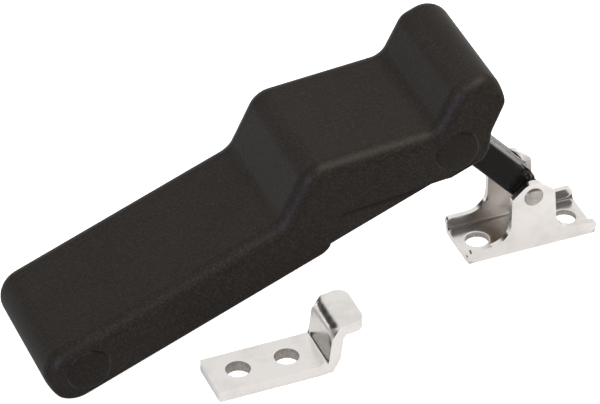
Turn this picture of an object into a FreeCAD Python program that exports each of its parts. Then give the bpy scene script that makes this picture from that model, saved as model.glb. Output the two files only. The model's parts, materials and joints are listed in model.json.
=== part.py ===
import FreeCAD, Part
import math
import os

# Flexible over-centre draw latch with a loose hook keeper.  Millimetres, +Z up.
# Origin: centre of the bracket's mounting face.  +X runs along the bracket, away
# from the keeper side.  The pivot pins lie along Y.

V = FreeCAD.Vector
Y_AXIS = V(0, 1, 0)

# ---- driving dimensions ------------------------------------------------------
# bracket
BRACKET_LENGTH = 34.5
BRACKET_WIDTH = 16.8
SHEET = 1.5
BEND_RADIUS = 2.2
HOLE_SPACING = 24.0
HOLE_RADIUS = 3.07
RIM_HEIGHT = 4.6
EAR_HALF = 5.8
EAR_RADIUS = 4.1
EAR_SHOULDER = 0.4
PIVOT_HEIGHT = 16.89

# pins and what lines their holes
PIN_RADIUS = 2.5
RUN_CLEARANCE = 0.05
PIN_STANDOUT = 0.5
WASHER_RADIUS = 3.6
WASHER_THICK = 0.8
BUSH_RADIUS = 3.4
PRESS_GAP = 0.02

# link
LINK_LENGTH = 37.854
LINK_ANGLE = 131.434
LINK_WIDTH = 11.4
LINK_HALF_HEIGHT = 3.7
LINK_SHEET = 1.3
SEAM = 0.4

# rubber arm, in its own (u, v) frame with the link pin's axis at (0, 0)
ARM_WIDTH = 39.7
PIN_SPACING = 104.0
ARM_BOTTOM = -6.4
ARM_TAIL = -114.6
ARM_NOSE_RADIUS = 6.5
ARM_TAIL_RADIUS = 7.2
FLOOR_GAP = 0.1
ARM_EDGE_RADIUS = 3.9
SKIN_SIDE = 1.1
CORE_BOTTOM = -5.3
SOFT_GAP = 0.05

# plugs in the arm's sides
PLUG_RADIUS = 5.65
PLUG_RECESS_RADIUS = 5.95
PLUG_STANDOUT = 0.25
PLUG_HEAD = 2.6
PLUG_STEM = 4.1
PLUG_STEM_LENGTH = 3.0

# keeper
KEEPER_THICK = 3.0
KEEPER_WIDTH = 14.0
KEEPER_X0 = -94.2
KEEPER_LENGTH = 38.4
KEEPER_HEIGHT = 13.8
KEEPER_Y = -27.6
KEEPER_HOLE_X = -80.4
KEEPER_HOLE_SPACING = 12.7
KEEPER_HOLE_RADIUS = 3.15

# ---- worked out --------------------------------------------------------------
ARM_SIDE = ARM_WIDTH / 2
EAR_INNER = BRACKET_WIDTH / 2 - SHEET
# where the ear's two slopes would meet if its round top, centred on the pivot, were not there
EAR_CORNER = math.hypot(EAR_HALF, EAR_SHOULDER)
EAR_SLOPE = math.asin(EAR_RADIUS / EAR_CORNER) - math.atan2(EAR_SHOULDER, EAR_HALF)
EAR_APEX = EAR_SHOULDER + EAR_HALF * math.tan(EAR_SLOPE)
LINK_X = LINK_LENGTH * math.cos(math.radians(LINK_ANGLE))
LINK_Z = PIVOT_HEIGHT + LINK_LENGTH * math.sin(math.radians(LINK_ANGLE))
FAR = 60.0
# at rest the arm's rounded tail lies on the plane that the bracket stands on
TAIL_U = -(ARM_TAIL + ARM_TAIL_RADIUS)
TAIL_V = ARM_BOTTOM + ARM_TAIL_RADIUS
TAIL_DROP = LINK_Z - ARM_TAIL_RADIUS - FLOOR_GAP
ARM_PITCH = math.degrees(math.asin(TAIL_DROP / math.hypot(TAIL_U, TAIL_V)) + math.atan2(TAIL_V, TAIL_U))


# ---- helpers -----------------------------------------------------------------
def rounded_wire(corners):
    """Closed wire in the XZ plane from (x, z, radius) corners."""
    points = [V(x, 0, z) for x, z, r in corners]
    count = len(points)
    edges = []
    ends = []
    for i in range(count):
        here = points[i]
        before = (points[i - 1] - here).normalize()
        after = (points[(i + 1) % count] - here).normalize()
        radius = corners[i][2]
        if radius <= 0:
            ends.append((here, None, here))
            continue
        half = before.getAngle(after) / 2
        reach = radius / math.tan(half)
        bisector = (before + after).normalize()
        middle = here + bisector * (radius / math.sin(half) - radius)
        ends.append((here + before * reach, middle, here + after * reach))
    for i in range(count):
        start, middle, stop = ends[i]
        if middle is not None:
            edges.append(Part.Arc(start, middle, stop).toShape())
        following = ends[(i + 1) % count][0]
        if stop.distanceToPoint(following) > 1e-6:
            edges.append(Part.makeLine(stop, following))
    return Part.Wire(edges)


def plate(corners, y0, y1):
    """Outline in XZ, extruded from y0 to y1."""
    face = Part.Face(rounded_wire(corners))
    face.translate(V(0, y0, 0))
    return face.extrude(V(0, y1 - y0, 0))


def slab(corners, half_width):
    return plate(corners, -half_width, half_width)


def box(x0, x1, y0, y1, z0, z1):
    return Part.makeBox(x1 - x0, y1 - y0, z1 - z0, V(x0, y0, z0))


def rod(x, z, radius, y0, y1):
    return Part.makeCylinder(radius, y1 - y0, V(x, y0, z), Y_AXIS)


def post(x, y, radius, z0, z1):
    return Part.makeCylinder(radius, z1 - z0, V(x, y, z0), V(0, 0, 1))


def mirrored(shape):
    return shape.mirror(V(0, 0, 0), Y_AXIS)


def on_arm(shape):
    """From the arm's own frame to its rest place."""
    placed = shape.copy()
    placed.rotate(V(0, 0, 0), Y_AXIS, -ARM_PITCH)
    placed.translate(V(LINK_X, 0, LINK_Z))
    return placed


def on_link(shape):
    """From the link's own frame (x from the bracket pin to the arm pin) to rest."""
    placed = shape.copy()
    placed.rotate(V(0, 0, 0), Y_AXIS, -LINK_ANGLE)
    placed.translate(V(0, 0, PIVOT_HEIGHT))
    return placed


def save(name, shape):
    solids = shape.Solids
    result = solids[0] if len(solids) == 1 else Part.makeCompound(solids)
    if not result.isValid():
        print("NOT VALID", name)
    result.exportStep("parts/" + name + ".step")
    bounds = result.BoundBox
    print("%-24s %d solid  %9.1f mm3  x %.1f %.1f  y %.1f %.1f  z %.2f %.2f" % (
        name, len(solids), result.Volume, bounds.XMin, bounds.XMax,
        bounds.YMin, bounds.YMax, bounds.ZMin, bounds.ZMax))


# ---- bracket -----------------------------------------------------------------
def bracket():
    """Folded sheet: flat base, low rims and two ears with the pin's holes."""
    outer_y = BRACKET_WIDTH / 2
    inner_y = EAR_INNER
    half = BRACKET_LENGTH / 2
    top = PIVOT_HEIGHT + EAR_RADIUS + 1.0
    inner_radius = BEND_RADIUS - SHEET
    outline = Part.Face(rounded_wire([
        (-outer_y, 0, BEND_RADIUS), (outer_y, 0, BEND_RADIUS), (outer_y, top, 0), (inner_y, top, 0),
        (inner_y, SHEET, inner_radius), (-inner_y, SHEET, inner_radius), (-inner_y, top, 0),
        (-outer_y, top, 0)]))
    channel = outline.extrude(V(0, BRACKET_LENGTH, 0))
    channel.rotate(V(0, 0, 0), V(0, 0, 1), -90)
    channel.translate(V(-half, 0, 0))
    shoulder = PIVOT_HEIGHT + EAR_SHOULDER
    apex = PIVOT_HEIGHT + EAR_APEX
    foot = EAR_HALF + 0.5
    side = slab([
        (-half, -1, 0), (half, -1, 0), (half, RIM_HEIGHT, 1.2), (foot, RIM_HEIGHT, 5.5),
        (EAR_HALF, shoulder, 1.0), (0, apex, EAR_RADIUS), (-EAR_HALF, shoulder, 1.0),
        (-foot, RIM_HEIGHT, 5.5), (-half, RIM_HEIGHT, 1.2)], outer_y + 1)
    shape = channel.common(side)
    for x in (-HOLE_SPACING / 2, HOLE_SPACING / 2):
        shape = shape.cut(post(x, 0, HOLE_RADIUS, -1, SHEET + 1))
    return shape.cut(rod(0, PIVOT_HEIGHT, PIN_RADIUS + 0.03, -outer_y - 1, outer_y + 1))


def bracket_pin():
    """Riveted pin whose ends stand just proud of the ears."""
    reach = BRACKET_WIDTH / 2 + PIN_STANDOUT
    shape = rod(0, PIVOT_HEIGHT, PIN_RADIUS, -reach, reach)
    rims = [e for e in shape.Edges if e.isClosed() and e.Length < 2 * math.pi * PIN_RADIUS + 0.1]
    return shape.makeChamfer(0.3, rims)


def pivot_washer():
    """Thin washer between the link and the front ear."""
    start = -(EAR_INNER + LINK_WIDTH / 2 + WASHER_THICK) / 2
    ring = rod(0, PIVOT_HEIGHT, WASHER_RADIUS, start, start + WASHER_THICK)
    return ring.cut(rod(0, PIVOT_HEIGHT, PIN_RADIUS + RUN_CLEARANCE, start - 1, start + 1))


# ---- link --------------------------------------------------------------------
def link_section():
    """The folded strip's cross-section: web at +z, flanges meeting at a seam at -z."""
    w = LINK_WIDTH / 2
    h = LINK_HALF_HEIGHT
    t = LINK_SHEET
    r = 1.0
    return Part.Face(rounded_wire([
        (-w, h, r), (w, h, r), (w, -h, r), (SEAM / 2, -h, 0), (SEAM / 2, t - h, 0), (w - t, t - h, 0),
        (w - t, h - t, 0), (-w + t, h - t, 0), (-w + t, t - h, 0), (-SEAM / 2, t - h, 0),
        (-SEAM / 2, -h, 0), (-w, -h, r)]))


def link():
    """Folded link: round-ended sides, web and flanges stopped short of the pins."""
    reach = LINK_HALF_HEIGHT
    tube = link_section().extrude(V(0, LINK_LENGTH + 2 * reach, 0))
    tube.rotate(V(0, 0, 0), V(0, 0, 1), -90)
    tube.translate(V(-reach, 0, 0))
    side = slab([
        (-reach, -reach, reach - 0.01), (LINK_LENGTH + reach, -reach, reach - 0.01),
        (LINK_LENGTH + reach, reach, reach - 0.01), (-reach, reach, reach - 0.01)], LINK_WIDTH)
    shape = tube.common(side)
    inner = LINK_WIDTH / 2 - LINK_SHEET
    flange_stop = 1.4
    for x0, x1 in ((-FAR, flange_stop), (LINK_LENGTH - flange_stop, FAR)):
        shape = shape.cut(box(x0, x1, -inner, inner, -FAR, FAR))
    slot_start = 2.0
    slot_length = 4.2
    slot_width = 2.0
    slot_y = inner - slot_width / 2 - 0.05
    for x0 in (slot_start, LINK_LENGTH - slot_start - slot_length):
        for y in (-slot_y, slot_y):
            window = plan_slot(x0, x0 + slot_length, y, slot_width)
            shape = shape.cut(window)
    for x in (0, LINK_LENGTH):
        shape = shape.cut(rod(x, 0, BUSH_RADIUS - 0.5, -LINK_WIDTH, LINK_WIDTH))
    return shape


def plan_slot(x0, x1, y, width):
    """Round-ended slot through the link's lower flanges only."""
    r = width / 2
    z0 = -LINK_HALF_HEIGHT - 1
    z1 = -LINK_HALF_HEIGHT + LINK_SHEET + 0.5
    bar = box(x0 + r, x1 - r, y - r, y + r, z0, z1)
    return bar.fuse(post(x0 + r, y, r, z0, z1)).fuse(post(x1 - r, y, r, z0, z1)).removeSplitter()


def link_bush(x):
    """Sleeve in a link eye, flush with the link's sides."""
    half = LINK_WIDTH / 2
    tube = rod(x, 0, BUSH_RADIUS - 0.5 - PRESS_GAP, -half, half)
    return tube.cut(rod(x, 0, PIN_RADIUS + RUN_CLEARANCE, -half - 1, half + 1))


# ---- arm ---------------------------------------------------------------------
ARM_OUTLINE = [
    (ARM_TAIL, ARM_BOTTOM, ARM_TAIL_RADIUS),
    (ARM_TAIL, 8.2, ARM_TAIL_RADIUS),
    (-46.7, 7.7, 6.0),
    (-34.4, 18.5, 7.0),
    (-2.5, 8.6, 4.5),
    (6.3, 16.0, 5.0),
    (26.74, 16.0, ARM_NOSE_RADIUS),
    (10.0, 0.2, 4.0),
    (7.4, -4.4, 2.0),
    (4.7, ARM_BOTTOM, 1.5),
]

SKIRT_CUT = [
    (-41.6, -9.0, 0),
    (-41.6, ARM_BOTTOM, 0.6),
    (-38.6, -5.2, 2.0),
    (-31.9, 2.1, 2.0),
    (-5.6, -5.4, 2.0),
    (-3.4, ARM_BOTTOM, 0.6),
    (-3.0, -9.0, 0),
]

CORE_OUTLINE = [
    (-47.0, CORE_BOTTOM, 0.8),
    (-47.0, 3.0, 2.0),
    (-34.2, 14.4, 4.0),
    (-2.4, 5.2, 4.0),
    (5.6, 11.6, 3.0),
    (12.6, 11.6, 3.0),
    (12.4, 6.6, 2.0),
    (7.6, 1.6, 2.0),
    (5.0, CORE_BOTTOM, 2.5),
]

# room for the bracket's ears and rims once the arm is closed over them
EAR_ROOM = [
    (-48.0, -9.0, 0),
    (-48.0, -3.4, 1.0),
    (-44.9, 1.0, 1.5),
    (-44.2, 8.3, 1.2),
    (-40.2, 12.5, 2.5),
    (-34.2, 12.5, 2.5),
    (-30.6, 8.3, 1.2),
    (-30.2, 1.0, 1.0),
    (-27.8, -2.2, 1.0),
    (-27.8, -9.0, 0),
]
RIM_ROOM = [
    (-56.6, -9.0, 0),
    (-56.6, -4.3, 1.0),
    (-17.6, -4.3, 1.0),
    (-17.6, -9.0, 0),
]
EAR_ROOM_HALF = BRACKET_WIDTH / 2 + PIN_STANDOUT + 0.6

# room for the link from its rest side to its closed side
LINK_ROOM = [
    (-43.6, -9.0, 0),
    (-43.6, 8.0, 1.0),
    (-38.0, 11.6, 2.0),
    (0.0, 4.5, 3.0),
    (4.9, 2.8, 2.0),
    (8.6, -9.0, 0),
]
LINK_ROOM_HALF = LINK_WIDTH / 2 + 0.3

# room for the keeper's hook and, in front of it, its foot and screw heads
HOOK_ROOM = [
    (-110.6, -9.0, 0),
    (-110.2, 1.0, 3.0),
    (-107.8, 5.9, 2.5),
    (-97.0, 5.9, 2.5),
    (-95.8, -9.0, 0),
]
FOOT_ROOM = [
    (-98.0, -9.0, 0),
    (-98.0, -1.2, 0),
    (-64.0, -1.2, 3.0),
    (-62.0, -9.0, 0),
]
HOOK_ROOM_HALF = KEEPER_WIDTH / 2 + 1.0


def arm_outer():
    """The arm's outside: the side outline, with its long upper edges rounded."""
    shape = slab(ARM_OUTLINE, ARM_SIDE)
    rounded = []
    for edge in shape.Edges:
        middle = edge.valueAt((edge.FirstParameter + edge.LastParameter) / 2)
        along = edge.BoundBox.YLength < 1e-3 and abs(abs(middle.y) - ARM_SIDE) < 1e-4
        if along and middle.z > ARM_BOTTOM + 0.2:
            rounded.append(edge)
    return shape.makeFillet(ARM_EDGE_RADIUS, rounded)


def pocket_shapes():
    return [
        slab(EAR_ROOM, EAR_ROOM_HALF),
        slab(RIM_ROOM, EAR_ROOM_HALF),
        slab(LINK_ROOM, LINK_ROOM_HALF),
        slab(HOOK_ROOM, HOOK_ROOM_HALF),
        slab(FOOT_ROOM, HOOK_ROOM_HALF),
    ]


def side_holes(u, gap):
    """Stepped hole through both sides for a bushed pin and its plugs."""
    shape = rod(u, 0, BUSH_RADIUS + gap, -FAR, FAR)
    for side in (-1, 1):
        face = ARM_SIDE * side
        head = ARM_SIDE - PLUG_HEAD - gap
        stem = head - PLUG_STEM_LENGTH - gap
        y0, y1 = sorted((face + side, head * side))
        shape = shape.fuse(rod(u, 0, PLUG_RECESS_RADIUS, y0, y1))
        y0, y1 = sorted((head * side, stem * side))
        shape = shape.fuse(rod(u, 0, PLUG_STEM + gap, y0, y1))
    return shape


def arm_core():
    """Stiff inner moulding under the hump and nose; its sides show below the skin."""
    shape = slab(CORE_OUTLINE, ARM_SIDE - SKIN_SIDE)
    for room in pocket_shapes()[:3]:
        shape = shape.cut(room)
    roof = box(-44.2, -30.6, -EAR_ROOM_HALF, EAR_ROOM_HALF, 0, FAR)
    return shape.cut(roof).cut(side_holes(0, PRESS_GAP))


def rubber_arm():
    """Moulded rubber skin and strap, hollow below for bracket, link and keeper."""
    shape = arm_outer()
    shape = shape.cut(slab(SKIRT_CUT, FAR))
    seat = slab(CORE_OUTLINE, ARM_SIDE - SKIN_SIDE + SOFT_GAP)
    shape = shape.cut(seat.fuse(box(-47.0, 5.0, -ARM_SIDE + SKIN_SIDE - SOFT_GAP,
                                    ARM_SIDE - SKIN_SIDE + SOFT_GAP, -9.0, 0)))
    for room in pocket_shapes():
        shape = shape.cut(room)
    shape = shape.cut(side_holes(0, PRESS_GAP))
    return shape.cut(side_holes(-PIN_SPACING, PRESS_GAP))


def cross_pin(u):
    """Plain cross pin, its ends held in the plugs' sockets."""
    reach = ARM_SIDE - PLUG_HEAD - 0.4
    shape = rod(u, 0, PIN_RADIUS, -reach, reach)
    rims = [e for e in shape.Edges if e.isClosed() and e.Length < 2 * math.pi * PIN_RADIUS + 0.1]
    return shape.makeChamfer(0.4, rims)


def pin_sleeve(u, inner):
    """Front sleeve lining the arm's hole, from the pocket's wall to the plug's stem."""
    y0 = -(ARM_SIDE - PLUG_HEAD - PLUG_STEM_LENGTH - 0.1)
    tube = rod(u, 0, BUSH_RADIUS, y0, -inner)
    return tube.cut(rod(u, 0, PIN_RADIUS + 0.02, -FAR, 0))


def side_plug(u):
    """Front plug: slightly crowned head and a stem with a socket for the pin."""
    y_head = -(ARM_SIDE - PLUG_HEAD)
    y_face = -(ARM_SIDE + PLUG_STANDOUT)
    head = rod(u, 0, PLUG_RADIUS, y_face, y_head)
    rim = [e for e in head.Edges if e.isClosed() and abs(e.BoundBox.YMax - y_face) < 1e-3]
    head = head.makeFillet(0.7, rim)
    stem = rod(u, 0, PLUG_STEM, y_head - 0.5, y_head + PLUG_STEM_LENGTH)
    socket = rod(u, 0, PIN_RADIUS + 0.02, y_head + 0.3, 0)
    return head.fuse(stem).cut(socket).removeSplitter()


# ---- keeper ------------------------------------------------------------------
def keeper():
    """Strip keeper: foot with two holes, leaning riser, lip pointing away from the foot."""
    t = KEEPER_THICK
    top = KEEPER_HEIGHT
    x0 = KEEPER_X0
    lip_end = x0 + KEEPER_LENGTH
    y0 = KEEPER_Y - KEEPER_WIDTH / 2
    y1 = KEEPER_Y + KEEPER_WIDTH / 2
    shape = plate([
        (x0, 0, 0.3), (x0 + 31.1, 0, 3.4), (x0 + 32.7, top - t, 2.0), (lip_end, top - t, 0.6),
        (lip_end, top, 0.8), (x0 + 29.4, top, 4.3), (x0 + 28.3, t, 0.5), (x0, t, 0.3)], y0, y1)
    corner = 3.0
    plan = box(x0 - 1, lip_end - corner, y0, y1, -1, top + 1)
    plan = plan.fuse(box(lip_end - corner - 1, lip_end + 1, y0 + corner, y1 - corner, -1, top + 1))
    for y in (y0 + corner, y1 - corner):
        plan = plan.fuse(post(lip_end - corner, y, corner, -1, top + 1))
    shape = shape.common(plan.removeSplitter())
    for side in (-1, 1):
        x = KEEPER_HOLE_X + side * KEEPER_HOLE_SPACING / 2
        shape = shape.cut(post(x, KEEPER_Y, KEEPER_HOLE_RADIUS, -1, t + 1))
    return shape


def main():
    os.makedirs("parts", exist_ok=True)
    print("arm pitch at rest %.4f degrees" % ARM_PITCH)
    save("bracket", bracket())
    save("bracket_pin", bracket_pin())
    save("pivot_washer_front", pivot_washer())
    save("pivot_washer_rear", mirrored(pivot_washer()))
    save("link", on_link(link()))
    save("link_bush_lower", on_link(link_bush(0)))
    save("link_bush_upper", on_link(link_bush(LINK_LENGTH)))
    save("rubber_arm", on_arm(rubber_arm()))
    save("arm_core", on_arm(arm_core()))
    for name, u, inner in (("link", 0, LINK_ROOM_HALF + 0.2), ("hook", -PIN_SPACING, HOOK_ROOM_HALF + 0.2)):
        save(name + "_cross_pin", on_arm(cross_pin(u)))
        save(name + "_pin_sleeve_front", on_arm(pin_sleeve(u, inner)))
        save(name + "_pin_sleeve_rear", on_arm(mirrored(pin_sleeve(u, inner))))
        save(name + "_pin_plug_front", on_arm(side_plug(u)))
        save(name + "_pin_plug_rear", on_arm(mirrored(side_plug(u))))
    save("keeper", keeper())


main()
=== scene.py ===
import json
import math

import bmesh
import bpy
from mathutils import Matrix, Vector
from mathutils.geometry import delaunay_2d_cdt


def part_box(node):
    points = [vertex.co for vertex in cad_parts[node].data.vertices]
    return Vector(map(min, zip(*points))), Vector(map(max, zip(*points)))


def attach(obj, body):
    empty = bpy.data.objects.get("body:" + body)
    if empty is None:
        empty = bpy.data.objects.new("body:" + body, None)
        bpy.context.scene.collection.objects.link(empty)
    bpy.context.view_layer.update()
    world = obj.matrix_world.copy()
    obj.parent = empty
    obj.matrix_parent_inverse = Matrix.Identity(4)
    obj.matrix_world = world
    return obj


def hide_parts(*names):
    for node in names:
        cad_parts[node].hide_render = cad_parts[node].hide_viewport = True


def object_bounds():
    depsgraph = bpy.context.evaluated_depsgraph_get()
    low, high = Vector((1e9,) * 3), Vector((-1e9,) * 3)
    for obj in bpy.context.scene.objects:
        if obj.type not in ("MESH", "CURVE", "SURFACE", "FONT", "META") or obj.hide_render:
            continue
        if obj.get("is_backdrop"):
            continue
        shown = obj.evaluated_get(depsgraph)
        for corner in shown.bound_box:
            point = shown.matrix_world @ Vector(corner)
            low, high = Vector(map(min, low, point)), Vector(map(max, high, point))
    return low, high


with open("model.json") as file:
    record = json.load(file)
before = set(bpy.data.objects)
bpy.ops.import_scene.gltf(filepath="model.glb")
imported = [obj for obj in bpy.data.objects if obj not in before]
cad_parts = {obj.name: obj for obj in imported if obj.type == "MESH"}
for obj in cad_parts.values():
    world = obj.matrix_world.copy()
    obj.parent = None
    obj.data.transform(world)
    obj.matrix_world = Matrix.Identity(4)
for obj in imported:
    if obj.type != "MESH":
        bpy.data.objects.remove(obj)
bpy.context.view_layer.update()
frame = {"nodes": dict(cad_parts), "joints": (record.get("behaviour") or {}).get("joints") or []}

MM = 0.001

# ---- places taken from the frame ---------------------------------------------
JOINTS = {joint["name"]: joint for joint in frame["joints"]}
PIVOT = Vector(JOINTS["link_swing"]["pos_m"]) / MM
LINK_PIN = Vector(JOINTS["arm_swing"]["pos_m"]) / MM


def middle(node):
    low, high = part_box(node)
    return (Vector(low) + Vector(high)) / 2 / MM


def size(node):
    low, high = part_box(node)
    return (Vector(high) - Vector(low)) / MM


HOOK_PIN = middle("hook_cross_pin")
ALONG_ARM = LINK_PIN - HOOK_PIN
ARM_PITCH = math.atan2(ALONG_ARM.z, ALONG_ARM.x)
PIN_SPACING = math.hypot(ALONG_ARM.x, ALONG_ARM.z)
ALONG_LINK = LINK_PIN - PIVOT
LINK_ANGLE = math.atan2(ALONG_LINK.z, ALONG_LINK.x)
LINK_LENGTH = math.hypot(ALONG_LINK.x, ALONG_LINK.z)


def placing(origin, angle):
    """Matrix from a piece's own XZ frame (millimetres) to the row frame (metres)."""
    turn = Matrix.Rotation(-angle, 4, "Y")
    return Matrix.Diagonal((MM, MM, MM, 1)) @ Matrix.Translation(origin) @ turn


WORLD = Matrix.Diagonal((MM, MM, MM, 1))
ON_ARM = placing(LINK_PIN, ARM_PITCH)
ON_LINK = placing(PIVOT, LINK_ANGLE)


# ---- mesh helpers ------------------------------------------------------------
SAME_SPOT = 1e-4


def rounded(corners, step=0.8, turn_step=7.0):
    """Points along a closed outline of (a, b, radius) corners: arcs and evenly split runs."""
    points = []
    count = len(corners)
    spots = [Vector((a, b)) for a, b, r in corners]
    arcs = []
    for i in range(count):
        here = spots[i]
        before = (spots[i - 1] - here).normalized()
        after = (spots[(i + 1) % count] - here).normalized()
        radius = corners[i][2]
        if radius <= 0:
            arcs.append([here])
            continue
        half = before.angle(after) / 2
        reach = radius / math.tan(half)
        bisector = (before + after).normalized()
        centre = here + bisector * (radius / math.sin(half))
        start = here + before * reach - centre
        stop = here + after * reach - centre
        sweep = math.pi - 2 * half
        side = 1 if start.x * stop.y - start.y * stop.x > 0 else -1
        pieces = max(2, math.ceil(math.degrees(sweep) / turn_step))
        arc = []
        for k in range(pieces + 1):
            angle = side * sweep * k / pieces
            c, s = math.cos(angle), math.sin(angle)
            arc.append(centre + Vector((start.x * c - start.y * s, start.x * s + start.y * c)))
        arcs.append(arc)
    for i in range(count):
        points += arcs[i]
        gap = arcs[(i + 1) % count][0] - points[-1]
        pieces = math.ceil(gap.length / step)
        begin = points[-1].copy()
        points += [begin + gap * k / pieces for k in range(1, pieces)]
    return without_repeats(points)


def without_repeats(points):
    kept = []
    for p in points:
        if not kept or (p - kept[-1]).length > SAME_SPOT:
            kept.append(p)
    if (kept[0] - kept[-1]).length < SAME_SPOT:
        kept.pop()
    return kept


def outward(points):
    """Unit normals that point out of a clockwise outline."""
    normals = []
    for i, here in enumerate(points):
        run = points[(i + 1) % len(points)] - points[i - 1]
        normals.append(Vector((-run.y, run.x)).normalized())
    return normals


def finish_mesh(bm, name, place, sharp=40.0):
    """Object from a bmesh: welded, faces outward, placed, and smooth but for sharp edges."""
    bmesh.ops.remove_doubles(bm, verts=bm.verts, dist=SAME_SPOT)
    bmesh.ops.recalc_face_normals(bm, faces=bm.faces)
    mesh = bpy.data.meshes.new(name)
    bm.to_mesh(mesh)
    bm.free()
    mesh.transform(place)
    for polygon in mesh.polygons:
        polygon.use_smooth = True
    mesh.set_sharp_from_angle(angle=math.radians(sharp))
    piece = bpy.data.objects.new(name, mesh)
    bpy.context.scene.collection.objects.link(piece)
    return piece


def apply_modifiers(piece):
    """The piece's mesh as its modifiers leave it, with the modifiers gone."""
    graph = bpy.context.evaluated_depsgraph_get()
    mesh = bpy.data.meshes.new_from_object(piece.evaluated_get(graph), depsgraph=graph)
    old = piece.data
    piece.modifiers.clear()
    piece.data = mesh
    bpy.data.meshes.remove(old)
    mesh.name = piece.name


def even_normals(piece):
    """Shading normals weighted by face area, so that flats look flat beside small rounds."""
    modifier = piece.modifiers.new("normals", "WEIGHTED_NORMAL")
    modifier.keep_sharp = True
    modifier.weight = 100
    apply_modifiers(piece)


def prism(corners, half_width, step=4.0):
    """Closed bmesh: an outline extruded both ways along Y."""
    bm = bmesh.new()
    outline = rounded(corners, step)
    front = [bm.verts.new((p.x, -half_width, p.y)) for p in outline]
    back = [bm.verts.new((p.x, half_width, p.y)) for p in outline]
    bm.faces.new(front)
    bm.faces.new(list(reversed(back)))
    for i in range(len(outline)):
        j = (i + 1) % len(outline)
        bm.faces.new((front[i], back[i], back[j], front[j]))
    return bm


def turned(profile, centre, pieces=64):
    """Closed bmesh: (radius, y) profile turned about the Y axis through centre (x, z)."""
    bm = bmesh.new()
    rings = []
    for radius, y in profile:
        if radius < 1e-6:
            rings.append([bm.verts.new((centre[0], y, centre[1]))])
            continue
        ring = []
        for k in range(pieces):
            angle = 2 * math.pi * k / pieces
            place = (centre[0] + radius * math.cos(angle), y, centre[1] + radius * math.sin(angle))
            ring.append(bm.verts.new(place))
        rings.append(ring)
    for one, two in zip(rings, rings[1:]):
        for k in range(pieces):
            m = (k + 1) % pieces
            corners = [one[k % len(one)], one[m % len(one)], two[m % len(two)], two[k % len(two)]]
            unique = list(dict.fromkeys(corners))
            if len(unique) > 2:
                bm.faces.new(unique)
    return bm


def cut(piece, cutters):
    """Takes away the cutters, given as (bmesh, matrix that places it)."""
    for bm, place in cutters:
        tool = finish_mesh(bm, "tool", place)
        modifier = piece.modifiers.new("cut", "BOOLEAN")
        modifier.operation = "DIFFERENCE"
        modifier.solver = "EXACT"
        modifier.object = tool
        apply_modifiers(piece)
        bpy.data.objects.remove(tool)


def soften(piece, width, angle=38.0, segments=3):
    """Small rounds on every edge that is sharper than the angle."""
    modifier = piece.modifiers.new("bevel", "BEVEL")
    modifier.width = width * MM
    modifier.segments = segments
    modifier.limit_method = "ANGLE"
    modifier.angle_limit = math.radians(angle)
    modifier.use_clamp_overlap = True
    modifier.loop_slide = True
    modifier.harden_normals = False
    apply_modifiers(piece)
    for polygon in piece.data.polygons:
        polygon.use_smooth = True
    piece.data.set_sharp_from_angle(angle=math.radians(50))
    even_normals(piece)


# ---- sheet metal -------------------------------------------------------------
HOLE_RING = 0.7
HOLE_CLEAR = 1.12
RIM_CLEAR = 0.45


class Fold:
    """Centre line of folded sheet, built up from straight runs and bends."""

    def __init__(self, start, heading):
        self.spot = Vector(start)
        self.heading = math.radians(heading)
        self.runs = []
        self.length = 0.0

    def ahead(self, length):
        self.runs.append(("run", self.length, length, self.spot.copy(), self.heading, 0.0))
        self.spot = self.spot + Vector((math.cos(self.heading), math.sin(self.heading))) * length
        self.length += length
        return self

    def bend(self, degrees, radius):
        turn = math.radians(degrees)
        length = abs(turn) * radius
        self.runs.append(("bend", self.length, length, self.spot.copy(), self.heading, turn))
        self.spot = self._along(self.runs[-1], length)[0]
        self.heading += turn
        self.length += length
        return self

    def _along(self, run, s):
        kind, begin, length, spot, heading, turn = run
        if kind == "run":
            ahead = Vector((math.cos(heading), math.sin(heading)))
            return spot + ahead * s, heading
        radius = length / abs(turn)
        side = 1 if turn > 0 else -1
        centre = spot + Vector((-math.sin(heading), math.cos(heading))) * radius * side
        now = heading + turn * s / length
        return centre - Vector((-math.sin(now), math.cos(now))) * radius * side, now

    def at(self, s):
        """Point and left-hand normal at arc length s along the centre line."""
        run = self.runs[0]
        for candidate in self.runs:
            if s >= candidate[1] - 1e-9:
                run = candidate
        spot, heading = self._along(run, s - run[1])
        return spot, Vector((-math.sin(heading), math.cos(heading)))

    def lines(self, straight=3.0, curved=9.0):
        """Arc lengths at which the sheet gets a row of points."""
        stops = [0.0]
        for kind, begin, length, spot, heading, turn in self.runs:
            pieces = math.ceil(length / straight)
            if kind == "bend":
                pieces = max(2, math.ceil(abs(math.degrees(turn)) / curved))
            stops += [begin + length * k / pieces for k in range(1, pieces + 1)]
        return stops


def inside(point, polygon):
    """Whether the point lies in the polygon."""
    x, y = point
    result = False
    for i in range(len(polygon)):
        x0, y0 = polygon[i - 1]
        x1, y1 = polygon[i]
        if (y0 > y) != (y1 > y) and x < (x1 - x0) * (y - y0) / (y1 - y0) + x0:
            result = not result
    return result


def near_edge(point, polygons, gap):
    """Whether the point is closer than gap to an edge of any polygon."""
    p = Vector(point)
    for polygon in polygons:
        for i in range(len(polygon)):
            a = polygon[i - 1]
            run = polygon[i] - a
            t = max(0.0, min(1.0, (p - a).dot(run) / max(run.length_squared, 1e-12)))
            if (p - a - run * t).length < gap:
                return True
    return False


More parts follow.
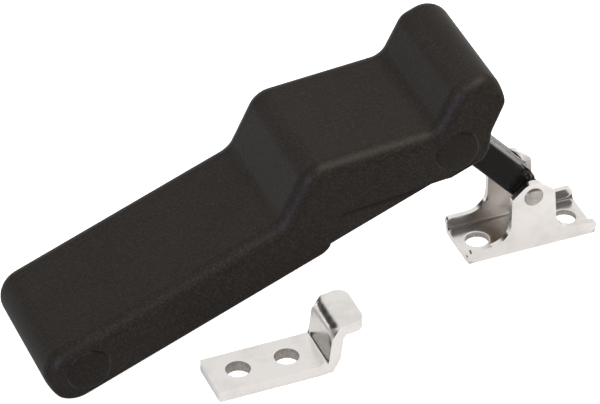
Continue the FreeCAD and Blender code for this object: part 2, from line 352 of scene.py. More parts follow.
def flat_points(fold, blank, holes, across):
    """Inner points of the flat sheet: a ring round each hole, and rows across the fold."""
    points = []
    for hole in holes:
        heart = sum(hole, Vector((0, 0))) / len(hole)
        points += [heart + (p - heart) * (1 + HOLE_RING / (p - heart).length) for p in hole]
    low = min(p.x for p in blank)
    high = max(p.x for p in blank)
    columns = math.ceil((high - low) / across)
    for s in fold.lines():
        for k in range(1, columns):
            spot = Vector((low + (high - low) * k / columns, s))
            if not in_sheet(spot, blank, holes):
                continue
            if not near_edge(spot, [blank], RIM_CLEAR) and not near_edge(spot, holes, HOLE_CLEAR):
                points.append(spot)
    return points


def in_sheet(spot, blank, holes):
    return inside(spot, blank) and not any(inside(spot, hole) for hole in holes)


def flat_faces(fold, blank, holes, across):
    """Vertices and faces of the flat sheet, cut to its outline and holes."""
    points = []
    edges = []
    for loop in [blank] + holes:
        base = len(points)
        points += [Vector(p) for p in loop]
        edges += [(base + i, base + (i + 1) % len(loop)) for i in range(len(loop))]
    points += flat_points(fold, blank, holes, across)
    verts, _, faces = delaunay_2d_cdt(points, edges, [], 0, 1e-5)[:3]
    kept = []
    for face in faces:
        centre = sum((verts[i] for i in face), Vector((0, 0))) / len(face)
        if in_sheet(centre, blank, holes):
            kept.append(face)
    return verts, kept


def open_edges(faces):
    """Edges that only one face uses, as (i, j) in that face's direction."""
    used = {}
    for face in faces:
        for i in range(len(face)):
            edge = (face[i], face[(i + 1) % len(face)])
            key = tuple(sorted(edge))
            used[key] = used.get(key, 0) + 1
    return [key for key, times in used.items() if times == 1]


def folded_sheet(name, fold, blank, holes, thickness, to_space, place, edge=0.25, across=2.0):
    """Piece of folded sheet.  blank and holes are outlines of (a, s): a runs across, s along
    the fold.  to_space turns (a, point, normal, height) into the piece's own XYZ."""
    verts, faces = flat_faces(fold, blank, holes, across)
    bm = bmesh.new()
    upper = {}
    lower = {}
    for i in sorted({i for face in faces for i in face}):
        spot, normal = fold.at(verts[i].y)
        upper[i] = bm.verts.new(to_space(verts[i].x, spot, normal, thickness / 2))
        lower[i] = bm.verts.new(to_space(verts[i].x, spot, normal, -thickness / 2))
    for face in faces:
        bm.faces.new([upper[i] for i in face])
        bm.faces.new([lower[i] for i in reversed(face)])
    rims = set()
    for i, j in open_edges(faces):
        bm.faces.new((upper[i], upper[j], lower[j], lower[i]))
        rims.add(bm.edges.get((upper[i], upper[j])))
        rims.add(bm.edges.get((lower[i], lower[j])))
    bmesh.ops.recalc_face_normals(bm, faces=bm.faces)
    bmesh.ops.bevel(bm, geom=list(rims), offset=edge, offset_type="OFFSET", segments=3,
                    profile=0.5, affect="EDGES", clamp_overlap=True, loop_slide=True)
    piece = finish_mesh(bm, name, place, 45.0)
    even_normals(piece)
    return piece


def circle(a, s, radius, pieces=48):
    """Points of a round hole in the flat sheet."""
    ring = []
    for k in range(pieces):
        angle = 2 * math.pi * k / pieces
        ring.append(Vector((a + radius * math.cos(angle), s + radius * math.sin(angle))))
    return ring


# ---- the rubber arm and what is fixed in it ------------------------------------
# Outlines are (u, v, radius): u along the arm and v square to it, from the link pin.
ARM_HALF = size("rubber_arm").y / 2
CORE_HALF = size("arm_core").y / 2
TOP_EDGE = 3.9
LOW_EDGE = 0.9
FAR = 60.0

ARM_OUTLINE = [
    (-114.6, -6.4, 7.2), (-114.6, 8.2, 7.2), (-46.7, 7.7, 6.0), (-34.4, 18.5, 7.0),
    (-2.5, 8.6, 4.5), (6.3, 16.0, 5.0), (26.74, 16.0, 6.5), (10.0, 0.2, 4.0),
    (7.4, -4.4, 2.0), (4.7, -6.4, 1.5)]
SKIRT_CUT = [
    (-41.6, -9.0, 0), (-41.6, -6.4, 0.6), (-38.6, -5.2, 2.0), (-31.9, 2.1, 2.0),
    (-5.6, -5.4, 2.0), (-3.4, -6.4, 0.6), (-3.0, -9.0, 0)]
CORE_OUTLINE = [
    (-47.0, -5.3, 0.8), (-47.0, 3.0, 2.0), (-34.2, 14.4, 4.0), (-2.4, 5.2, 4.0), (5.6, 11.6, 3.0),
    (12.6, 11.6, 3.0), (12.4, 6.6, 2.0), (7.6, 1.6, 2.0), (5.0, -5.3, 2.5)]
EAR_ROOM = [
    (-48.0, -9.0, 0), (-48.0, -3.4, 1.0), (-44.9, 1.0, 1.5), (-44.2, 8.3, 1.2), (-40.2, 12.5, 2.5),
    (-34.2, 12.5, 2.5), (-30.6, 8.3, 1.2), (-30.2, 1.0, 1.0), (-27.8, -2.2, 1.0), (-27.8, -9.0, 0)]
EAR_ROOF = [(-44.2, 0.0, 0), (-44.2, 40.0, 0), (-30.6, 40.0, 0), (-30.6, 0.0, 0)]
CORE_WAY_IN = [(-47.0, -9.0, 0), (-47.0, 0.0, 0), (5.0, 0.0, 0), (5.0, -9.0, 0)]
RIM_ROOM = [(-56.6, -9.0, 0), (-56.6, -4.3, 1.0), (-17.6, -4.3, 1.0), (-17.6, -9.0, 0)]
LINK_ROOM = [
    (-43.6, -9.0, 0), (-43.6, 8.0, 1.0), (-38.0, 11.6, 2.0), (0.0, 4.5, 3.0), (4.9, 2.8, 2.0),
    (8.6, -9.0, 0)]
HOOK_ROOM = [
    (-110.6, -9.0, 0), (-110.2, 1.0, 3.0), (-107.8, 5.9, 2.5), (-97.0, 5.9, 2.5), (-95.8, -9.0, 0)]
FOOT_ROOM = [(-98.0, -9.0, 0), (-98.0, -1.2, 0), (-64.0, -1.2, 3.0), (-62.0, -9.0, 0)]
EAR_ROOM_HALF = 9.5
LINK_ROOM_HALF = 6.0
HOOK_ROOM_HALF = 8.0
EDGE_TURNS = 8
EDGE_BLEND = 0.6

PLUG_HEAD = 2.6
PLUG_STANDOUT = 0.25
PLUG_RADIUS = 5.65
PLUG_RECESS = 5.8
PLUG_STEM = 4.1
PLUG_STEM_LENGTH = 3.0
PLUG_ROLL = 0.75
PLUG_CROWN = 0.22
PIN_RADIUS = 2.5
SLEEVE_BORE = 3.42
FIT = 0.02


def arm_shell():
    """Closed bmesh of the arm's outside, its long edges rolled over more at the top."""
    bm = bmesh.new()
    outline = rounded(ARM_OUTLINE, 5.0, 6.0)
    normals = outward(outline)
    rings = []
    for side in (-1, 1):
        steps = range(EDGE_TURNS + 1) if side < 0 else range(EDGE_TURNS, -1, -1)
        for k in steps:
            angle = math.pi / 2 * k / EDGE_TURNS
            ring = []
            for p, n in zip(outline, normals):
                upness = max(0.0, min(1.0, (n.y + EDGE_BLEND) / EDGE_BLEND))
                radius = LOW_EDGE + (TOP_EDGE - LOW_EDGE) * upness * upness * (3 - 2 * upness)
                spot = p - n * radius * (1 - math.sin(angle))
                y = side * (ARM_HALF - radius * (1 - math.cos(angle)))
                ring.append(bm.verts.new((spot.x, y, spot.y)))
            rings.append(ring)
    count = len(outline)
    for one, two in zip(rings, rings[1:]):
        for i in range(count):
            j = (i + 1) % count
            bm.faces.new((one[i], one[j], two[j], two[i]))
    bm.faces.new(rings[0])
    bm.faces.new(list(reversed(rings[-1])))
    return bm


def room_cutters():
    """Pockets for the closed latch: the bracket's ears and rims, and the link."""
    return [
        (prism(EAR_ROOM, EAR_ROOM_HALF), ON_ARM),
        (prism(RIM_ROOM, EAR_ROOM_HALF), ON_ARM),
        (prism(LINK_ROOM, LINK_ROOM_HALF), ON_ARM)]


def side_hole_cutters(u):
    """Stepped holes for one pin: its sleeve's bore, the plugs' stems and heads."""
    head = ARM_HALF - PLUG_HEAD
    stem = head - PLUG_STEM_LENGTH
    far = ARM_HALF + 1
    snug = PLUG_STEM + FIT
    profile = [
        (0, -far), (PLUG_RECESS, -far), (PLUG_RECESS, -head), (snug, -head), (snug, -stem),
        (SLEEVE_BORE, -stem), (SLEEVE_BORE, stem), (snug, stem), (snug, head),
        (PLUG_RECESS, head), (PLUG_RECESS, far), (0, far)]
    return [(turned(profile, (u, 0)), ON_ARM)]


def make_rubber_arm():
    """The skin: stepped shell, open below for the core, the link, the bracket and the hook."""
    piece = finish_mesh(arm_shell(), "arm_rubber_moulding", ON_ARM)
    seat_half = CORE_HALF + 0.05
    cutters = [
        (prism(SKIRT_CUT, FAR), ON_ARM),
        (prism(CORE_OUTLINE, seat_half), ON_ARM),
        (prism(CORE_WAY_IN, seat_half), ON_ARM)]
    cutters += room_cutters()
    cutters += [
        (prism(HOOK_ROOM, HOOK_ROOM_HALF), ON_ARM),
        (prism(FOOT_ROOM, HOOK_ROOM_HALF), ON_ARM)]
    cutters += side_hole_cutters(0) + side_hole_cutters(-PIN_SPACING)
    cut(piece, cutters)
    soften(piece, 0.3)
    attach(piece, "arm_side")
    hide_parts("rubber_arm")
    return piece


def make_arm_core():
    """The block under the hump, cut through where the bracket's ears come up."""
    piece = finish_mesh(prism(CORE_OUTLINE, CORE_HALF), "arm_core_moulding", ON_ARM)
    roof = [(prism(EAR_ROOF, EAR_ROOM_HALF), ON_ARM)]
    cut(piece, room_cutters() + roof + side_hole_cutters(0))
    soften(piece, 0.3)
    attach(piece, "arm_side")
    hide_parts("arm_core")
    return piece


def make_plug(node, u, side):
    """Plug: crowned head with a rolled rim, and a socketed stem for the pin's end."""
    face = ARM_HALF + PLUG_STANDOUT
    head = ARM_HALF - PLUG_HEAD
    tip = head - PLUG_STEM_LENGTH
    socket = PIN_RADIUS + FIT
    profile = [(0, face), (1.8, face - 0.01), (3.4, face - 0.06), (4.6, face - 0.16)]
    for k in range(6):
        angle = math.pi / 2 * k / 5
        inward = PLUG_ROLL * (1 - math.sin(angle))
        back = PLUG_ROLL * (1 - math.cos(angle))
        profile.append((PLUG_RADIUS - inward, face - PLUG_CROWN - back))
    profile += [(PLUG_RADIUS, head + 0.15), (PLUG_RADIUS - 0.15, head), (PLUG_STEM, head)]
    profile += [(PLUG_STEM, tip + 0.3), (PLUG_STEM - 0.3, tip)]
    profile += [(socket, tip), (socket, head - 0.3), (0, head - 0.3)]
    bm = turned([(radius, y * side) for radius, y in profile], (u, 0), 72)
    piece = finish_mesh(bm, node.replace("pin_plug", "plug_disc"), ON_ARM, 35.0)
    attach(piece, "arm_side")
    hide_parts(node)
    return piece


# ---- link -----------------------------------------------------------------------
LINK_WIDTH = size("link").y
LINK_HALF_HEIGHT = 3.7
LINK_SHEET = 1.3
LINK_BEND = 0.85
SEAM = 0.4
FLANGE_STOP = 1.4
SLOT_START = 2.0
SLOT_LENGTH = 4.2
SLOT_WIDTH = 2.0
LINK_EYE = 2.9
LINK_STOPS = 220
FLAT_ENOUGH = 0.75


def link_fold():
    """Centre line round the section, from the seam over flange, side, web, side to the seam."""
    half_y = LINK_WIDTH / 2 - LINK_SHEET / 2
    half_z = LINK_HALF_HEIGHT - LINK_SHEET / 2
    flange = half_y - LINK_BEND - SEAM / 2
    fold = Fold((-SEAM / 2, -half_z), 180.0)
    fold.ahead(flange).bend(-90, LINK_BEND).ahead(2 * (half_z - LINK_BEND)).bend(-90, LINK_BEND)
    fold.ahead(2 * (half_y - LINK_BEND))
    fold.bend(-90, LINK_BEND).ahead(2 * (half_z - LINK_BEND)).bend(-90, LINK_BEND).ahead(flange)
    return fold


def link_blank(fold):
    """Flat outline (a, s): sides end round, flanges and web stop short of the pins."""
    half_z = LINK_HALF_HEIGHT - LINK_SHEET / 2
    limits = []
    for k in range(LINK_STOPS + 1):
        s = fold.length * k / LINK_STOPS
        spot, normal = fold.at(min(s, fold.length - 1e-6))
        height = min(abs(spot.y) + abs(normal.y) * LINK_SHEET / 2, LINK_HALF_HEIGHT)
        overhang = math.sqrt(max(LINK_HALF_HEIGHT ** 2 - height ** 2, 0.0))
        start = -overhang if abs(normal.y) < FLAT_ENOUGH else FLANGE_STOP
        limits.append((start, s))
    left = [Vector((start, s)) for start, s in limits]
    right = [Vector((LINK_LENGTH - start, s)) for start, s in reversed(limits)]
    return left + right


def slot_ring(start, s):
    """Round-ended slot along the link, at arc length s."""
    half = SLOT_WIDTH / 2
    ring = []
    for end, a in ((1, start + SLOT_LENGTH - half), (-1, start + half)):
        for k in range(9):
            angle = math.pi * (k / 8 - 0.5)
            across = end * half * math.sin(angle)
            ring.append(Vector((a + end * half * math.cos(angle), s + across)))
    return ring


def make_link():
    """Strip folded to a box with its seam below, slots beside the seam, and eyes for the pins."""
    fold = link_fold()
    inner = LINK_WIDTH / 2 - LINK_SHEET
    slot_s = inner - SLOT_WIDTH / 2 - 0.05 - SEAM / 2
    starts = (SLOT_START, LINK_LENGTH - SLOT_START - SLOT_LENGTH)
    slots = [slot_ring(start, s) for s in (slot_s, fold.length - slot_s) for start in starts]
    side_run = fold.runs[2]
    eye_s = side_run[1] + side_run[2] / 2
    eyes = [circle(x, s, LINK_EYE) for x in (0, LINK_LENGTH) for s in (eye_s, fold.length - eye_s)]

    def to_space(a, spot, normal, height):
        point = spot + normal * height
        return (a, point.x, point.y)

    piece = folded_sheet("link_folded_strip", fold, link_blank(fold), slots + eyes, LINK_SHEET,
                         to_space, ON_LINK, edge=0.2, across=2.4)
    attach(piece, "link_side")
    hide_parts("link")
    return piece


# ---- bracket and keeper ------------------------------------------------------------
SHEET = 1.5
BRACKET_LENGTH = size("bracket").x
BRACKET_WIDTH = size("bracket").y
RIM_HEIGHT = 4.6
BEND_RADIUS = 2.2
EAR_HALF = 5.8
EAR_RADIUS = 4.1
EAR_SHOULDER = 0.4
BRACKET_HOLES = (-12.0, 12.0)
BRACKET_HOLE_RADIUS = 3.07


def make_bracket():
    """Folded channel: base, low rims, and two ears round the pivot pin."""
    centre_bend = BEND_RADIUS - SHEET / 2
    flat = BRACKET_WIDTH / 2 - BEND_RADIUS
    top = size("bracket").z
    wall = top - BEND_RADIUS
    fold = Fold((-(BRACKET_WIDTH - SHEET) / 2, top), -90.0)
    fold.ahead(wall).bend(90, centre_bend).ahead(2 * flat).bend(90, centre_bend).ahead(wall)
    half = BRACKET_LENGTH / 2
    shoulder = PIVOT.z + EAR_SHOULDER
    corner = math.hypot(EAR_HALF, EAR_SHOULDER)
    slope = math.asin(EAR_RADIUS / corner) - math.atan2(EAR_SHOULDER, EAR_HALF)
    apex = shoulder + EAR_HALF * math.tan(slope)
    foot = EAR_HALF + 0.5
    corners = [
        (half, RIM_HEIGHT, 1.2), (foot, RIM_HEIGHT, 5.5), (EAR_HALF, shoulder, 1.0),
        (0, apex, EAR_RADIUS), (-EAR_HALF, shoulder, 1.0), (-foot, RIM_HEIGHT, 5.5),
        (-half, RIM_HEIGHT, 1.2)]
    low = [(a, top - z, r) for a, z, r in corners]
    high = [(a, fold.length - (top - z), r) for a, z, r in reversed(corners)]
    blank = rounded(low + high, 3.0)
    holes = [circle(x, fold.length / 2, BRACKET_HOLE_RADIUS) for x in BRACKET_HOLES]
    for s in (top - PIVOT.z, fold.length - (top - PIVOT.z)):
        holes.append(circle(0, s, PIN_RADIUS + 0.03))

    def to_space(a, spot, normal, height):
        point = spot + normal * height
        return (a, point.x, point.y)

    piece = folded_sheet("bracket_folded_channel", fold, blank, holes, SHEET, to_space, WORLD,
                         edge=0.28)
    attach(piece, "bracket_side")
    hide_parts("bracket")
    return piece


def make_bracket_pin():
    """Rivet: both ends a low dome with a small rolled rim, just proud of the ears."""
    reach = size("bracket_pin").y / 2
    half = [(0, reach), (1.2, reach - 0.02), (1.9, reach - 0.09), (2.3, reach - 0.22)]
    half.append((PIN_RADIUS, reach - 0.42))
    profile = half + [(radius, -y) for radius, y in reversed(half)]
    bm = turned(profile, (0, PIVOT.z), 64)
    piece = finish_mesh(bm, "bracket_rivet", WORLD, 60.0)
    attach(piece, "bracket_side")
    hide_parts("bracket_pin")
    return piece


def make_washer(node):
    """Flat ring with softened outer corners, in the gap between the link and an ear."""
    low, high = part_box(node)
    y0 = low.y / MM
    y1 = high.y / MM
    outer = (high.x - low.x) / 2 / MM
    inner = PIN_RADIUS + 0.05
    rim = 0.1
    profile = [(inner, y0), (outer - rim, y0), (outer, y0 + rim), (outer, y1 - rim), (outer - rim, y1),
               (inner, y1), (inner, y0)]
    piece = finish_mesh(turned(profile, (0, PIVOT.z), 64), node + "_ring", WORLD, 50.0)
    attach(piece, "bracket_side")
    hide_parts(node)
    return piece


KEEPER_THICK = 3.0
KEEPER_FOOT = 29.8
KEEPER_RISE = 10.8
KEEPER_LEAN = 1.6
KEEPER_BENDS = (1.95, 2.9)
KEEPER_HOLES = (7.45, 20.15)
KEEPER_HOLE_RADIUS = 3.15


def make_keeper():
    """Folded strip: foot with two holes, leaning riser, and a lip that the arm's pin hooks."""
    low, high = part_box("keeper")
    half = size("keeper").y / 2
    middle_y = middle("keeper").y
    fold = Fold((low.x / MM, KEEPER_THICK / 2), 0.0)
    lean = math.degrees(math.atan2(KEEPER_RISE, KEEPER_LEAN))
    reach_one, reach_two = (bend * math.tan(math.radians(lean) / 2) for bend in KEEPER_BENDS)
    riser = math.hypot(KEEPER_RISE, KEEPER_LEAN) - reach_one - reach_two
    fold.ahead(KEEPER_FOOT - reach_one).bend(lean, KEEPER_BENDS[0])
    fold.ahead(riser).bend(-lean, KEEPER_BENDS[1])
    fold.ahead(high.x / MM - fold.spot.x)
    blank = rounded([
        (half, 0, 0.5), (-half, 0, 0.5), (-half, fold.length, 3.0), (half, fold.length, 3.0)], 3.0)
    holes = [circle(0, s, KEEPER_HOLE_RADIUS) for s in KEEPER_HOLES]

    def to_space(a, spot, normal, height):
        point = spot + normal * height
        return (point.x, middle_y + a, point.y)

    piece = folded_sheet("keeper_folded_strip", fold, blank, holes, KEEPER_THICK, to_space, WORLD,
                         edge=0.35)
    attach(piece, "bracket_side")
    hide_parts("keeper")
    return piece


# ---- materials -----------------------------------------------------------------------
class Finish:
    """A node material under construction."""

    def __init__(self, name, colour, metallic, roughness, specular=0.5):
        self.material = bpy.data.materials.new(name)
        self.material.use_nodes = True
        self.nodes = self.material.node_tree.nodes
        self.links = self.material.node_tree.links
        self.shader = self.nodes["Principled BSDF"]
        self.shader.inputs["Base Color"].default_value = (*colour, 1)
        self.shader.inputs["Metallic"].default_value = metallic
        self.shader.inputs["Roughness"].default_value = roughness
        self.shader.inputs["Specular IOR Level"].default_value = specular
        self.place = self.nodes.new("ShaderNodeTexCoord").outputs["Object"]

    def noise(self, scale, detail=3.0, roughness=0.5, stretch=None):
        """Noise value over the object's own coordinates; stretch scales the axes."""
        place = self.place
        if stretch:
            mapping = self.nodes.new("ShaderNodeMapping")
            mapping.inputs["Scale"].default_value = stretch
            self.links.new(place, mapping.inputs["Vector"])
            place = mapping.outputs["Vector"]
        node = self.nodes.new("ShaderNodeTexNoise")
        node.inputs["Scale"].default_value = scale
        node.inputs["Detail"].default_value = detail
        node.inputs["Roughness"].default_value = roughness
        self.links.new(place, node.inputs["Vector"])
        return node.outputs["Fac"]

    def spread(self, value, low, high, into_low, into_high):
        """Value mapped from one range to another, held at its ends."""
        node = self.nodes.new("ShaderNodeMapRange")
        node.inputs["From Min"].default_value = low
        node.inputs["From Max"].default_value = high
        node.inputs["To Min"].default_value = into_low
        node.inputs["To Max"].default_value = into_high
        self.links.new(value, node.inputs["Value"])
        return node.outputs["Result"]

    def math(self, operation, one, two):
        """Result of a math node on two numbers or outputs."""
        node = self.nodes.new("ShaderNodeMath")
        node.operation = operation
        for socket, value in zip(node.inputs, (one, two)):
            if isinstance(value, (int, float)):
                socket.default_value = value
            else:
                self.links.new(value, socket)
        return node.outputs["Value"]

    def mix(self, factor, one, two):
        """Colour between two colours or colour outputs."""
        node = self.nodes.new("ShaderNodeMix")
        node.data_type = "RGBA"
        if isinstance(factor, (int, float)):
            node.inputs["Factor"].default_value = factor
        else:
            self.links.new(factor, node.inputs["Factor"])
        for name, value in (("A", one), ("B", two)):
            socket = [s for s in node.inputs if s.name == name and s.type == "RGBA"][0]
            if isinstance(value, tuple):
                socket.default_value = (*value, 1)
            else:
                self.links.new(value, socket)
        return [s for s in node.outputs if s.type == "RGBA"][0]

    def bump(self, height, distance, strength=1.0, below=None):
        """Normal with the height's relief, distance metres deep, over the one below."""
        node = self.nodes.new("ShaderNodeBump")
        node.inputs["Distance"].default_value = distance
        node.inputs["Strength"].default_value = strength
        self.links.new(height, node.inputs["Height"])
        if below:
            self.links.new(below, node.inputs["Normal"])
        return node.outputs["Normal"]

    def edges(self, low, high):
        """1 on worn outer edges, 0 elsewhere."""
        node = self.nodes.new("ShaderNodeNewGeometry")
        return self.spread(node.outputs["Pointiness"], low, high, 0.0, 1.0)

    def set(self, name, value):
        """Links an output to the shader's input of that name."""
        self.links.new(value, self.shader.inputs[name])


def rubber(name, colour, lighter, roughness, grain):
    """Moulded rubber: fine grain, patchy bloom, soft sheen."""
    finish = Finish(name, colour, 0.0, roughness, 0.05)
    patches = finish.noise(60.0, 4.0, 0.6)
    speckle = finish.noise(1900.0, 2.0, 0.7)
    tone = finish.mix(finish.spread(patches, 0.35, 0.7, 0.0, 1.0), colour, lighter)
    bright = tuple(c * 2.6 for c in lighter)
    finish.set("Base Color", finish.mix(finish.spread(speckle, 0.45, 0.75, 0.0, 0.8), tone, bright))
    finish.set("Roughness", finish.spread(speckle, 0.3, 0.7, roughness - 0.07, roughness + 0.09))
    coarse = finish.bump(finish.noise(900.0, 3.0, 0.6), 0.00006 * grain)
    finish.set("Normal", finish.bump(speckle, 0.00004 * grain, 1.0, coarse))
    finish.shader.inputs["Sheen Weight"].default_value = 0.05
    finish.shader.inputs["Sheen Roughness"].default_value = 0.5
    return finish.material


def bright_steel():
    """Zinc-bright rolled steel: soft gloss, faint rolling lines and fine scratches."""
    base = (0.83, 0.80, 0.77)
    finish = Finish("bright_rolled_steel", base, 1.0, 0.2)
    cloud = finish.noise(120.0, 4.0, 0.6)
    lines = finish.noise(900.0, 3.0, 0.6, (0.12, 1.0, 1.0))
    scratches = finish.noise(1500.0, 2.0, 0.5, (0.06, 1.0, 1.0))
    darker = (0.70, 0.67, 0.64)
    finish.set("Base Color", finish.mix(finish.spread(cloud, 0.45, 0.75, 0.0, 0.8), base, darker))
    finish.set("Roughness", finish.math("ADD", finish.spread(cloud, 0.3, 0.7, 0.14, 0.24),
                                        finish.spread(lines, 0.4, 0.7, 0.0, 0.06)))
    rolled = finish.bump(finish.noise(260.0, 3.0, 0.5), 0.00003)
    finish.set("Normal", finish.bump(scratches, 0.000012, 1.0, rolled))
    return finish.material


def pin_steel():
    """Turned steel of the spun-over rivet: darker, faintly mottled, with a fine bump."""
    base = (0.50, 0.47, 0.43)
    finish = Finish("pin_turned_steel", base, 1.0, 0.36)
    cloud = finish.noise(500.0, 4.0, 0.65)
    shade = finish.spread(cloud, 0.35, 0.7, 0.0, 1.0)
    finish.set("Base Color", finish.mix(shade, base, (0.32, 0.30, 0.27)))
    finish.set("Roughness", finish.spread(cloud, 0.3, 0.7, 0.28, 0.46))
    finish.set("Normal", finish.bump(finish.noise(1400.0, 3.0, 0.6), 0.00003))
    return finish.material


def black_coat():
    """Baked black coat on steel, rubbed to metal on its sharp edges."""
    colour = (0.0062, 0.0051, 0.0041)
    finish = Finish("black_coated_strip", colour, 0.0, 0.28, 0.1)
    wear_noise = finish.noise(420.0, 5.0, 0.65)
    worn = finish.spread(wear_noise, 0.5, 0.66, 0.0, 1.0)
    edge = finish.math("MULTIPLY", finish.edges(0.62, 0.72), worn)
    finish.set("Base Color", finish.mix(edge, colour, (0.30, 0.28, 0.26)))
    finish.set("Metallic", edge)
    finish.set("Roughness", finish.spread(finish.noise(800.0, 3.0, 0.6), 0.3, 0.7, 0.20, 0.32))
    finish.set("Normal", finish.bump(finish.noise(1800.0, 3.0, 0.55), 0.00003))
    return finish.material


def bronze():
    """Sintered bronze bush with fine pores."""
    base = (0.36, 0.24, 0.12)
    finish = Finish("bush_sintered_bronze", base, 1.0, 0.42)
    pores = finish.noise(3200.0, 2.0, 0.5)
    shade = finish.spread(pores, 0.55, 0.72, 0.0, 1.0)
    finish.set("Base Color", finish.mix(shade, base, (0.12, 0.08, 0.045)))
    finish.set("Roughness", finish.spread(pores, 0.3, 0.7, 0.34, 0.55))
    finish.set("Normal", finish.bump(pores, 0.00003))
    return finish.material


def sleeve_steel():
    """Plain drawn tube steel with a dull grey surface."""
    base = (0.34, 0.34, 0.35)
    finish = Finish("sleeve_drawn_steel", base, 1.0, 0.45)
    drawn = finish.noise(900.0, 3.0, 0.6, (1.0, 0.08, 1.0))
    shade = finish.spread(drawn, 0.4, 0.7, 0.0, 1.0)
    finish.set("Base Color", finish.mix(shade, base, (0.22, 0.22, 0.23)))
    finish.set("Roughness", finish.spread(drawn, 0.3, 0.7, 0.36, 0.55))
    finish.set("Normal", finish.bump(drawn, 0.00002))
    return finish.material


def hole_wall_painted_shade():
    """Wall of a punched hole: duller than the rolled face, and darker, which is painted shade of the
    hole's inside.
    """
    # The base colour and its darker mottle are painted shade inside the hole.
    base = (0.46, 0.43, 0.40)
    finish = Finish("hole_wall_steel_painted_shade", base, 1.0, 0.45)
    mottle = finish.noise(1500.0, 4.0, 0.65)
    shade = finish.spread(mottle, 0.35, 0.7, 0.0, 1.0)
    finish.set("Base Color", finish.mix(shade, base, (0.30, 0.28, 0.255)))
    finish.set("Roughness", finish.spread(mottle, 0.3, 0.7, 0.38, 0.56))
    finish.set("Normal", finish.bump(mottle, 0.00003))
    return finish.material


def dress(piece, material):
    """Gives the piece this one material."""
    piece.data.materials.clear()
    piece.data.materials.append(material)


def dress_hole_walls(piece, material, places, radius):
    """Second material on the upright walls of round holes at the given (x, y) places."""
    piece.data.materials.append(material)
    for polygon in piece.data.polygons:
        spot = Vector(polygon.center[:2]) / MM
        near = min((spot - Vector(place)).length for place in places)
        if near < radius + 0.1 and abs(polygon.normal.z) < 0.3:
            polygon.material_index = 1


# ---- stage -----------------------------------------------------------------------------
CAMERA_TARGET = Vector((-50.19, 24.46, 7.76)) * MM
CAMERA_DISTANCE = 1.24762
CAMERA_AZIMUTH = -20.139
CAMERA_ELEVATION = 36.234
CAMERA_ROLL = -1.841
CAMERA_LENS = 295.8
# the floor's glow as reflections see it, near and behind the object, and as the eye sees it
FLOOR_GLOW = 0.40
FLOOR_GLOW_BACK = 1.0
FLOOR_GLOW_SEEN = 1.0
FLOOR_BACK_STARTS = 0.03
FLOOR_BACK_ENDS = 0.10
WORLD_FRONT = 0.20
WORLD_BACK = 1.15
DARK_FLAG = (-0.62, 0.76, 0.19)
EDGE_GLEAM = Vector((0.28, -0.25, 0.93))
RISE_GLEAM = Vector((-0.738, -0.598, 0.304))
GLEAM_DISTANCE = 0.9


def make_camera():
    """Long lens at the reference view's angle."""
    azimuth = math.radians(CAMERA_AZIMUTH)
    elevation = math.radians(CAMERA_ELEVATION)
    roll = math.radians(CAMERA_ROLL)
    right = Vector((math.cos(azimuth), math.sin(azimuth), 0))
    back = Vector((math.sin(azimuth) * math.cos(elevation), -math.cos(azimuth) * math.cos(elevation),
                   math.sin(elevation)))
    up = back.cross(right)
    across = right * math.cos(roll) + up * math.sin(roll)
    upward = up * math.cos(roll) - right * math.sin(roll)
    data = bpy.data.cameras.new("camera")
    data.lens = CAMERA_LENS
    data.sensor_width = 36.0
    data.clip_start = 0.05
    data.clip_end = 20.0
    camera = bpy.data.objects.new("camera", data)
    turn = Matrix((across, upward, back)).transposed().to_4x4()
    camera.matrix_world = Matrix.Translation(CAMERA_TARGET + back * CAMERA_DISTANCE) @ turn
    bpy.context.scene.collection.objects.link(camera)
    bpy.context.scene.camera = camera


def floor_material():
    """Dull and glowing: white to the eye, dimmer in reflections, clear from below."""
    material = bpy.data.materials.new("pale_floor")
    material.use_nodes = True
    nodes = material.node_tree.nodes
    links = material.node_tree.links
    nodes.clear()
    output = nodes.new("ShaderNodeOutputMaterial")
    diffuse = nodes.new("ShaderNodeBsdfDiffuse")
    diffuse.inputs["Color"].default_value = (0.42, 0.42, 0.42, 1)
    path = nodes.new("ShaderNodeLightPath")
    strength = nodes.new("ShaderNodeMapRange")
    strength.inputs["To Max"].default_value = FLOOR_GLOW_SEEN
    glow = nodes.new("ShaderNodeEmission")
    both = nodes.new("ShaderNodeAddShader")
    clear = nodes.new("ShaderNodeBsdfTransparent")
    pick = nodes.new("ShaderNodeMixShader")
    side = nodes.new("ShaderNodeNewGeometry")
    split = nodes.new("ShaderNodeSeparateXYZ")
    depth = nodes.new("ShaderNodeMapRange")
    depth.inputs["From Min"].default_value = FLOOR_BACK_STARTS
    depth.inputs["From Max"].default_value = FLOOR_BACK_ENDS
    depth.inputs["To Min"].default_value = FLOOR_GLOW
    depth.inputs["To Max"].default_value = FLOOR_GLOW_BACK
    links.new(side.outputs["Position"], split.inputs[0])
    links.new(split.outputs["Y"], depth.inputs["Value"])
    links.new(depth.outputs["Result"], strength.inputs["To Min"])
    links.new(path.outputs["Is Camera Ray"], strength.inputs["Value"])
    links.new(strength.outputs["Result"], glow.inputs["Strength"])
    links.new(diffuse.outputs[0], both.inputs[0])
    links.new(glow.outputs[0], both.inputs[1])
    links.new(side.outputs["Backfacing"], pick.inputs[0])
    links.new(both.outputs[0], pick.inputs[1])
    links.new(clear.outputs[0], pick.inputs[2])
    links.new(pick.outputs[0], output.inputs["Surface"])
    return material


